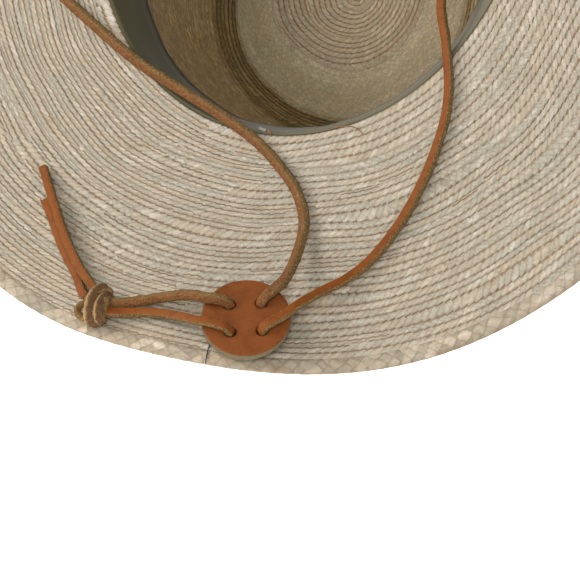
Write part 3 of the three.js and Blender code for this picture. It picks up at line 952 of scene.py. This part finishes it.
class HAT_OT_stage(bpy.types.Operator):
    """Makes the camera, the lights and the floor"""

    bl_idname = "hat.stage"
    bl_label = "Stage"

    def execute(self, context):
        scene = context.scene
        lens = bpy.data.cameras.new("Camera")
        lens.sensor_width = SENSOR_WIDTH
        lens.lens = FOCAL_LENGTH
        lens.clip_start = 0.05
        lens.clip_end = 20
        camera = bpy.data.objects.new("Camera", lens)
        camera.matrix_world = Matrix(CAMERA_PLACE)
        scene.collection.objects.link(camera)
        scene.camera = camera

        aim = Vector((0, -0.1, 0.1))
        # Place and width in metres, power in watts, and tint
        lamps = (
            ("Key light", (-1.56, 0.4, 1.26), 1.3, 25, (1.0, 0.995, 0.98)),
            ("Low light", (0.6, -1.62, 0.83), 0.9, 9, (1.0, 0.99, 0.97)),
            ("Overhead light", (0.27, -0.32, 2.07), 0.9, 14, (0.98, 0.99, 1.0)),
            ("Fill light", (-0.98, -0.93, 1.63), 0.9, 8, (1.0, 0.995, 0.98)),
        )
        for name, place, width, power, tint in lamps:
            light = bpy.data.lights.new(name, "AREA")
            light.shape = "DISK"
            light.size = width
            light.energy = power
            light.color = tint
            lamp = bpy.data.objects.new(name, light)
            lamp.location = place
            lamp.rotation_euler = (aim - Vector(place)).to_track_quat("-Z", "Y").to_euler()
            scene.collection.objects.link(lamp)
        world = bpy.data.worlds.new("Studio")
        world.use_nodes = True
        background = world.node_tree.nodes["Background"]
        background.inputs["Color"].default_value = (1.0, 0.995, 0.985, 1.0)
        background.inputs["Strength"].default_value = 0.3
        scene.world = world
        scene.view_settings.view_transform = "Standard"

        floor_material, w, shader = material("Pale floor", specular=0.2)
        cloudy = w.noise(w.place(), 1.5, 2.0)
        w.join(w.mix(cloudy, (0.9, 0.9, 0.9, 1.0), (0.93, 0.93, 0.925, 1.0)), shader["Base Color"])
        shader["Roughness"].default_value = 0.9
        shader["Emission Color"].default_value = WHITE
        shader["Emission Strength"].default_value = 0.7
        mesh = bpy.data.meshes.new("Floor")
        half, height = 4.0, -0.0004
        corners = ((-half, -half), (half, -half), (half, half), (-half, half))
        mesh.from_pydata([(x, y, height) for x, y in corners], [], [(0, 1, 2, 3)])
        mesh.materials.append(floor_material)
        floor = bpy.data.objects.new("Floor", mesh)
        scene.collection.objects.link(floor)
        return {"FINISHED"}


def slider_frame():
    """Directions across and up the slider's face."""
    across = (DISC_ACROSS - DISC_UP * DISC_ACROSS.dot(DISC_UP)).normalized()
    return across, DISC_UP.cross(across)


def through_slider(along, way_in, way_out):
    """The lace's points down through the right hole and up through the left one."""
    across_axis, along_axis = slider_frame()

    def at(x, y, z):
        return DISC_CENTRE + across_axis * x + along_axis * y + DISC_UP * z

    down, up = [], []
    for step, rise in THREAD:
        if step > 0:
            down.append(at(HOLE_OFFSET - step, along, rise))
            up.append(at(-HOLE_OFFSET + step, along, rise))
        else:
            down.append(at(HOLE_OFFSET - way_in[0] * step, along - way_in[1] * step, rise))
            up.append(at(-HOLE_OFFSET - way_out[0] * step, along - way_out[1] * step, rise))
    return tuple(down + [at(0, along, UNDER_SLIDER)] + up[::-1])


class HAT_OT_laces(bpy.types.Operator):
    """Makes the chin lace's two halves and its two loose ends"""

    bl_idname = "hat.laces"
    bl_label = "Chin lace"

    def execute(self, context):
        size, look = sizes(), colours()
        sides = (look.cut_leather, look.fibres)
        smooth = leather_material("Lace leather", look.smooth_leather, *sides)
        worn = leather_material("Worn lace leather", look.worn_leather, *sides, nap=0.85)
        left = LEFT_RUN + through_slider(HOLE_OFFSET, *LEFT_WAYS) + LEFT_TO_KNOT
        right = RIGHT_RUN + through_slider(-HOLE_OFFSET, *RIGHT_WAYS) + RIGHT_TO_KNOT
        on_lace = ["slider_leather", "knot_outer", "knot_inner", "knot_bight", "knot_core"]
        # Turn of the smooth side at shares of the length
        left_twists = ((0, 20), (0.2, 42), (0.6, 50), (0.76, 40), (0.83, -35), (1, -30))
        right_twists = ((0, 20), (0.25, 32), (0.5, 28), (0.66, 12), (0.8, 8), (1, 18))
        # Line, twists, far end, leather, and how much wider it is than usual
        laces = (
            ("chin_lace_left", left, left_twists, "knot", worn, 1.12),
            ("chin_lace_right", right, right_twists, "knot", smooth, 1.0),
            ("lace_tail_long", LONG_TAIL, ((0, -8), (1, -10)), "bare", smooth, 1.0),
            ("lace_tail_short", SHORT_TAIL, ((0, -6), (1, -6)), "bare", smooth, 1.0),
        )
        for name, points, twists, end, leather, swell in laces:
            width = size.lace * swell
            mesh, line, length = lace_mesh(name + "_leather", points, twists, width, width * 0.9)
            piece = put(name + "_leather", mesh, leather, "lace_leather", name)
            on_lace if end == "knot" else ()
        return {"FINISHED"}


def applied(context, piece):
    """The mesh that an object ends up with; the object itself goes."""
    context.scene.collection.objects.link(piece)
    mesh = bpy.data.meshes.new_from_object(piece.evaluated_get(context.evaluated_depsgraph_get()))
    bpy.data.objects.remove(piece)
    return mesh


class HAT_OT_slider(bpy.types.Operator):
    """Makes the round leather slider with its four holes"""

    bl_idname = "hat.slider"
    bl_label = "Slider disc"

    def execute(self, context):
        size, look = sizes(), colours()
        outline = bpy.data.curves.new("Slider outline", "CURVE")
        outline.dimensions = "2D"
        outline.fill_mode = "BOTH"
        bevel = 0.5
        outline.extrude = size.disc_thickness / 2 - bevel
        outline.bevel_depth = bevel
        outline.bevel_resolution = 3
        places = [(0, 0, size.disc_radius - bevel, 96)]
        for x in (-HOLE_OFFSET, HOLE_OFFSET):
            for y in (-HOLE_OFFSET, HOLE_OFFSET):
                places.append((x, y, size.hole_radius + bevel, 40))
        for x, y, radius, count in places:
            loop = outline.splines.new("POLY")
            loop.points.add(count - 1)
            for k, point in enumerate(loop.points):
                turn = FULL_TURN * k / count
                wobble = 1 + 0.006 * math.sin(3 * turn + x) + 0.004 * math.sin(7 * turn + y)
                out = radius * wobble
                point.co = (x + out * math.cos(turn), y + out * math.sin(turn), 0, 1)
            loop.use_cyclic_u = True
        solid = applied(context, bpy.data.objects.new("Slider outline", outline))
        blank = bpy.data.objects.new("Slider blank", solid)
        remesh = blank.modifiers.new("Even faces", "REMESH")
        remesh.mode = "VOXEL"
        remesh.voxel_size = 0.34
        soften = blank.modifiers.new("Soft edges", "SMOOTH")
        soften.iterations = 4
        soften.factor = 0.5
        mesh = applied(context, blank)
        across_axis, along_axis = slider_frame()
        place = Matrix((across_axis, along_axis, DISC_UP)).transposed()
        points = mesh_points(mesh)
        # The leather is slightly wavy, and its rim droops
        radius = np.hypot(points[:, 0], points[:, 1])
        points[:, 2] += 0.16 * np.sin(points[:, 0] / 9 + 0.6) + 0.12 * np.sin(points[:, 1] / 8)
        points[:, 2] -= 0.25 * (radius / size.disc_radius) ** 4
        world = points @ np.array(place).T + np.array(DISC_CENTRE)
        mesh.vertices.foreach_set("co", (world * MM).ravel())
        smooth_shading(mesh)
        mesh.materials.clear()
        mesh.name = "slider_leather"
        leather = leather_material(
            "Slider leather", look.disc, look.disc_rim, look.disc_rim, disc=True, depth=0.07
        )
        put("slider_leather", mesh, leather, "disc_leather", "slider_disc")
        return {"FINISHED"}


class HAT_OT_knot(bpy.types.Operator):
    """Makes the knot: two turns of strap over the bundled laces, and a small loop"""

    bl_idname = "hat.knot"
    bl_label = "Knot"

    def execute(self, context):
        look = colours()
        side = KNOT_UP.cross(KNOT_AXIS).normalized()
        up = KNOT_AXIS.cross(side).normalized()
        cut, fibres = look.cut_leather, look.fibres
        strap = leather_material("Knot leather", look.knot, fibres, fibres, nap=0.6)
        bare = leather_material("Knot bundle", cut, cut, fibres, nap=0.8)

        def at(axial, across, rise):
            return KNOT_CENTRE + KNOT_AXIS * axial - side * across + up * rise

        outer = (
            (3.6, -6.2, -2.6), (3.9, -7.0, -0.6), (2.4, -6.6, 1.7), (0.2, -4.3, 3.3),
            (-0.9, -0.5, 4.4), (-1.2, 3.6, 4.7), (-1.1, 6.8, 3.6), (-0.6, 8.2, 1.4),
            (0.7, 7.9, -1.0), (2.0, 6.4, -2.6),
        )
        inner = (
            (4.6, -4.6, -2.6), (4.5, -4.4, -0.4), (3.3, -2.4, 2.0), (2.3, 1.0, 3.6),
            (2.2, 4.0, 4.1), (2.3, 6.2, 3.1), (2.8, 7.0, 1.0), (3.6, 6.2, -1.6),
        )
        bight = (
            (-1.6, 0.2, 0.6), (-4.6, 0.6, 0.5), (-6.2, 1.9, 0.1), (-6.0, 4.2, -0.1),
            (-4.4, 5.8, 0.1), (-1.6, 6.2, 0.4),
        )
        core = ((-3.4, 1.6, 0.4), (-1.0, 1.4, 0.6), (2.0, 1.6, 0.6), (5.2, 2.2, 0.6))
        # Line, turn in degrees, width, thickness, leather, and what the width keeps along
        parts = (
            ("knot_outer", outer, -36, 3.6, 2.1, strap, -KNOT_AXIS),
            ("knot_inner", inner, -40, 3.4, 2.1, strap, -KNOT_AXIS),
            ("knot_bight", bight, -30, 2.6, 2.4, bare, None),
            ("knot_core", core, 0, 8.6, 5.0, bare, None),
        )
        for name, points, twist, width, thickness, leather, along in parts:
            placed = [at(*point) for point in points]
            twists = ((0, twist), (1, twist))
            mesh, _, _ = lace_mesh(name, placed, twists, width, thickness, 0.6, along)
            stands_for = ("lace_knot",) if name == "knot_outer" else ()
            put(name, mesh, leather, "lace_leather", *stands_for)
        return {"FINISHED"}


class HAT_OT_threads(bpy.types.Operator):
    """Makes the loose ends of sewing thread, at the sweatband's joint and on the brim's edge"""

    bl_idname = "hat.threads"
    bl_label = "Thread ends"

    def execute(self, context):
        look = colours()
        joint = (
            (28.6, -93.9, 113.8), (32.1, -93.1, 115.3), (35.6, -92.3, 115.8),
            (38.7, -92.1, 115.8), (40.9, -92.9, 115.7), (42.5, -94.0, 115.8),
        )
        edge = (
            (9.3, -191.0, 139.1), (9.4, -193.3, 140.1), (9.7, -195.8, 141.1),
            (10.1, -197.9, 141.9), (10.2, -198.9, 141.6),
        )
        tab = ((1.6, -98.5, 113.9), (3.2, -98.9, 114.5), (5.0, -99.3, 114.9))
        tack = ((5.3, -98.8, 114.6), (6.2, -99.6, 115.3), (7.3, -100.2, 115.5))
        thickness = 0.36
        # Line, width, slot, and the yarn's name and tint
        threads = (
            ("thread_joint", joint, thickness, "band_cloth", "Brown thread", look.thread),
            ("thread_edge", edge, thickness, "straw_edge", "Black thread", look.black_thread),
            ("joint_tab", tab, 1.2, "band_cloth", "Pale cotton", look.cotton),
            ("joint_tack", tack, 0.8, "band_cloth", "Tack thread", look.thread),
        )
        for name, points, width, slot, yarn, tint in threads:
            mesh, _, _ = lace_mesh(name, points, ((0, 0), (1, 0)), width, thickness, 0.5)
            put(name, mesh, thread_material(yarn, tint), slot)
        return {"FINISHED"}


# Where the first row starts, as a share of the crown's section
DENT_MIDDLE = 0.004


def whole_turn(count):
    """Angles around the hat, in even steps."""
    return np.linspace(0, FULL_TURN, count, endpoint=False)


class HAT_OT_crown(bpy.types.Operator):
    """Makes the plaited crown, as its dented top and its wall"""

    bl_idname = "hat.crown"
    bl_label = "Crown"

    def execute(self, context):
        size = sizes()
        # Rows of the wanted widths along the section, from the dent to the opening
        probe = whole_turn(24)
        shares = np.linspace(0, 1, 400)
        section_points = crown_face(probe[None, :], shares[:, None])
        steps = np.mean(np.linalg.norm(np.diff(section_points, axis=0), axis=-1), axis=1)
        reach, _ = section(shares)
        widths = np.interp(reach, *zip(*CROWN_ROW_WIDTHS))
        counted = np.concatenate(([0], np.cumsum(steps / widths[1:])))
        rows = round(counted[-1])
        counted *= rows / counted[-1]

        def row_at(wanted):
            return float(np.interp(wanted, reach, counted))

        top_rows = round(row_at(1.0))

        def lines_at(angle):
            placed = row_lines(rows, angle, WIDE_CROWN_ROWS, seed=400, uneven=0.09, waves=5)
            return np.interp(placed * rows, counted, shares)

        flank, groove, wall = row_at(0.6), row_at(0.93), row_at(1.1)

        def by_part(dent, slope, bottom, side, top, outside):
            """A table of the rows: the dent, its slope, the groove around it, the wall up to its
            top, and the crown's outside, whose rows have the highest numbers."""
            return (
                (0, dent), (flank - 1, dent), (flank + 2, slope), (groove - 1, slope),
                (groove + 1, bottom), (wall, bottom), (wall + 3, side), (rows, top),
                (rows + 2, outside),
            )

        relief = np.interp(np.arange(rows), *zip(*by_part(0.5, 0.12, 0.7, 0.3, 0.5, 0.5)))
        finish = straw_material(
            "Crown straw", depth=0.17, slant=0.9, dense_rows=0.1, zigzag=0.16,
            patchiness=1.0, mottling=1.3,
            crossed_rows=by_part(0.3, 1.1, 0.2, 0.7, 0.5, 0.2),
            seam_width=by_part(0.13, 0.1, 0.12, 0.1, 0.1, 0.09),
            seam_strength=by_part(0.85, 0.12, 1.0, 0.4, 0.45, 1.0),
            strand_borders=by_part(0.5, 0.3, 0.6, 0.5, 0.5, 0.42),
            warm_seams=by_part(0.9, 0.3, 0.3, 0.3, 0.3, 0.8),
            strand_contrast=by_part(0.12, 0.12, 0.3, 0.3, 0.25, 0.12),
            # Tint on the hat's left side: the slope of the dent is lighter as painted light, the
            # groove around the dent is much darker and browner, partly as stain and partly as
            # painted shade, and the wall is darker and browner than on the right side as painted
            # shade
            tint=(
                by_part(0.95, 1.12, 0.42, 0.92, 1.0, 0.95),
                by_part(0.87, 1.08, 0.33, 0.76, 0.88, 0.93),
                by_part(0.75, 0.88, 0.16, 0.5, 0.7, 0.9),
            ),
            # Tint on the hat's right side, lighter than on the left side as painted light, most of
            # all on the slope of the dent
            right_painted_light_tint=(
                by_part(0.98, 1.45, 1.0, 1.1, 1.1, 0.95),
                by_part(0.9, 1.45, 0.88, 0.98, 0.98, 0.93),
                by_part(0.78, 1.4, 0.62, 0.75, 0.75, 0.9),
            ),
        )
        parts = (("crown_top", 0, top_rows, 330), ("crown_wall", top_rows, rows, 345))
        for name, low, high, columns in parts:
            angle = whole_turn(columns)
            lines = lines_at(angle)[low : high + 1]
            if low == 0:
                lines[0] = DENT_MIDDLE
            strands = strands_at(crown_face, angle, lines)
            mesh = plaited_body(
                name, angle, crown_face, lines, low, strands, step=0.0008, relief=relief[low:high]
            )
            # Nothing reaches below the surface that the hat lies on
            points = mesh_points(mesh)
            points[:, 2] = np.maximum(points[:, 2], 0)
            mesh.vertices.foreach_set("co", points.ravel())
            put(name, mesh, finish, "straw", "crown")
        return {"FINISHED"}


class HAT_OT_brim(bpy.types.Operator):
    """Makes the plaited brim, as its inner and its outer rows"""

    bl_idname = "hat.brim"
    bl_label = "Brim"

    def execute(self, context):
        size = sizes()
        angle = whole_turn(640)
        shares = row_lines(size.brim_rows, angle, WIDE_BRIM_ROWS, seed=900, uneven=0.17)
        # From just outside the opening to just under the edge plait
        first, last = 0.6, size.brim_width - size.edge_width + 0.9
        outs = first + (last - first) * shares
        finish = straw_material(
            "Brim straw", depth=0.17, tint=(1.02, 1.01, 1.0), dense_rows=0.1, dense_left=0.75,
            slant=1.25, crossed_rows=0.32, zigzag=0.2, seam_width=0.09, seam_strength=1.0,
            strand_borders=0.42, warm_seams=((0, 0.9), (20, 0.8), (26, 1.4), (31, 1.4)),
            patchiness=1.15, mottling=1.4, strand_contrast=0.12,
        )
        middle = size.brim_rows // 2
        parts = (("brim_inner", 0, middle), ("brim_outer", middle, size.brim_rows))
        for name, low, high in parts:
            lines = outs[low : high + 1]
            strands = strands_at(brim_face, angle, lines)
            mesh = plaited_body(name, angle, brim_face, lines, low, strands, step=0.4)
            put(name, mesh, finish, "straw", "brim")
        # The plait that turns down from the brim into the opening: out from it, and height
        profile = (
            (1.6, -0.45), (0.7, -0.75), (0.1, -1.7), (0.0, -3.6), (0.1, -5.9), (1.2, -6.1),
            (2.2, -4.6), (2.2, -1.6),
        )
        rings, bands = [], []
        for index, (out, drop) in enumerate(profile):
            ring = brim_face(angle, out + 0 * angle)
            ring[:, 2] += drop + 0.12 * smooth_wave(angle, seed=77)
            rings.append(ring)
            row = COLLAR_ROW + index / len(profile)
            after = COLLAR_ROW + (index + 1) / len(profile)
            bands.append((120, row, after))
        mesh = ring_mesh("brim_collar", rings, bands, closed=True)
        put("brim_collar", mesh, finish, "straw", "brim")
        return {"FINISHED"}


class HAT_OT_edge_plait(bpy.types.Operator):
    """Makes the full plait along the brim's edge"""

    bl_idname = "hat.edge_plait"
    bl_label = "Edge plait"

    def execute(self, context):
        size = sizes()
        angle = whole_turn(1200)
        strands = 224
        # In from the brim's edge, height, and place in its two rows, above and below
        profile = (
            (5.9, -0.75, 0.0), (5.6, -0.1, 0.06), (4.4, 0.05, 0.28), (3.0, 0.08, 0.5),
            (1.6, 0.02, 0.74), (0.6, -0.22, 0.9), (0.12, -0.65, 0.98), (0.0, -1.1, 1.04),
            (0.12, -1.55, 1.1), (0.6, -1.98, 1.2), (1.6, -2.22, 1.34), (3.0, -2.3, 1.56),
            (4.4, -2.26, 1.78), (5.6, -2.1, 1.94), (5.9, -1.5, 2.0),
        )
        # Place where the upper row turns into the lower one
        edge_turn = 1.04
        edge = 0.12 * smooth_wave(angle, seed=31, waves=20, low=3)
        edge = 0.05 * np.sin(strands * angle) + edge
        lift = 0.1 * smooth_wave(angle, seed=33, waves=24, low=4)
        rings, bands = [], []
        for index, (inward, drop, row) in enumerate(profile):
            near_edge = max(0.0, 1 - inward / 3)
            near_seam = max(0.0, (inward - 4) / 2)
            uneven = 0.3 * smooth_wave(angle, seed=35, waves=20)
            out = size.brim_width - inward + edge * near_edge + uneven * near_seam
            rings.append(lifted(brim_face, angle, out, 0.4, drop + lift * near_edge))
            after = profile[index + 1][2] if index + 1 < len(profile) else 2.02
            if row < edge_turn:
                places = [EDGE_ROW + place * 0.999 for place in (row, after)]
            else:
                places = [EDGE_ROW + 1 + (place - edge_turn) * 1.03 for place in (row, after)]
            bands.append((strands, *places))
        mesh = ring_mesh("edge_herringbone", rings, bands, closed=True)
        finish = straw_material(
            "Edge straw", depth=0.2, tint=(1.04, 0.965, 0.895), slant=1.15, crossed_rows=0.75,
            zigzag=0.05, seam_width=0.05, seam_strength=0.4, strand_borders=0.55, warm_seams=1.5,
            patchiness=1.4, mottling=1.2, strand_contrast=0.3,
        )
        put("edge_herringbone", mesh, finish, "straw_edge", "edge_plait")
        return {"FINISHED"}


class HAT_OT_sweatband(bpy.types.Operator):
    """Makes the cloth sweatband inside the head opening"""

    bl_idname = "hat.sweatband"
    bl_label = "Sweatband"

    def execute(self, context):
        size = sizes()
        angle = whole_turn(480)
        slack = 0.35 * smooth_wave(angle, seed=51, waves=12, low=3)
        ripple = 0.3 * smooth_wave(angle, seed=52, waves=30, low=6)
        depth_of_band, length_of_band = 26, 590.0
        # Depth below the opening and distance in from it: outside, hem and inside
        profile = (
            (0.2, -0.45), (1.2, 0.1), (6.0, 1.9), (12.0, 4.2), (19.0, 7.0), (25.6, 9.7),
            (26.2, 10.3), (25.7, 11.0),
            (19.0, 8.3), (12.0, 5.6), (6.0, 3.4), (2.4, 1.9), (1.2, 1.3), (0.3, 0.8), (-0.1, 0.2),
        )
        rings, bands = [], []
        for index, (depth, inset) in enumerate(profile):
            free = depth / depth_of_band
            x, y, _, _ = head_oval(angle, -(inset + slack * free + ripple * free * 0.5))
            z = size.crown_depth - depth + ripple * free
            rings.append(np.stack((x, y, z), axis=-1))
            after = profile[(index + 1) % len(profile)][0]
            bands.append((length_of_band, depth, after))
        mesh = ring_mesh("sweatband_cloth", rings, bands, closed=True)
        piece = put("sweatband_cloth", mesh, cloth_material(), "band_cloth", "sweatband")
        return {"FINISHED"}


class VIEW3D_PT_hat(bpy.types.Panel):
    """Sizes, colours and pieces of the hat"""

    bl_label = "Straw rancher hat"
    bl_space_type = "VIEW_3D"
    bl_region_type = "UI"
    bl_category = "Hat"

    def draw(self, context):
        column = self.layout.column()
        for operator in OPERATORS:
            column.operator(operator.bl_idname)
        for settings in (context.scene.hat_sizes, context.scene.hat_colours):
            box = self.layout.box()
            for key in settings.__annotations__:
                box.prop(settings, key)


OPERATORS = (
    HAT_OT_stage,
    HAT_OT_slider,
    HAT_OT_knot,
    HAT_OT_laces,
    HAT_OT_threads,
    HAT_OT_brim,
    HAT_OT_edge_plait,
    HAT_OT_crown,
    HAT_OT_sweatband,
)
CLASSES = (HatSizes, HatColours, *OPERATORS, VIEW3D_PT_hat)


def register():
    for item in CLASSES:
        bpy.utils.register_class(item)
    bpy.types.Scene.hat_sizes = PointerProperty(type=HatSizes)
    bpy.types.Scene.hat_colours = PointerProperty(type=HatColours)


def unregister():
    del bpy.types.Scene.hat_colours
    del bpy.types.Scene.hat_sizes
    for item in reversed(CLASSES):
        bpy.utils.unregister_class(item)


def main():
    register()
    bpy.ops.hat.stage()
    bpy.ops.hat.slider()
    bpy.ops.hat.knot()
    bpy.ops.hat.laces()
    bpy.ops.hat.threads()
    bpy.ops.hat.brim()
    bpy.ops.hat.edge_plait()
    bpy.ops.hat.crown()
    bpy.ops.hat.sweatband()


if __name__ == "__main__":
    main()
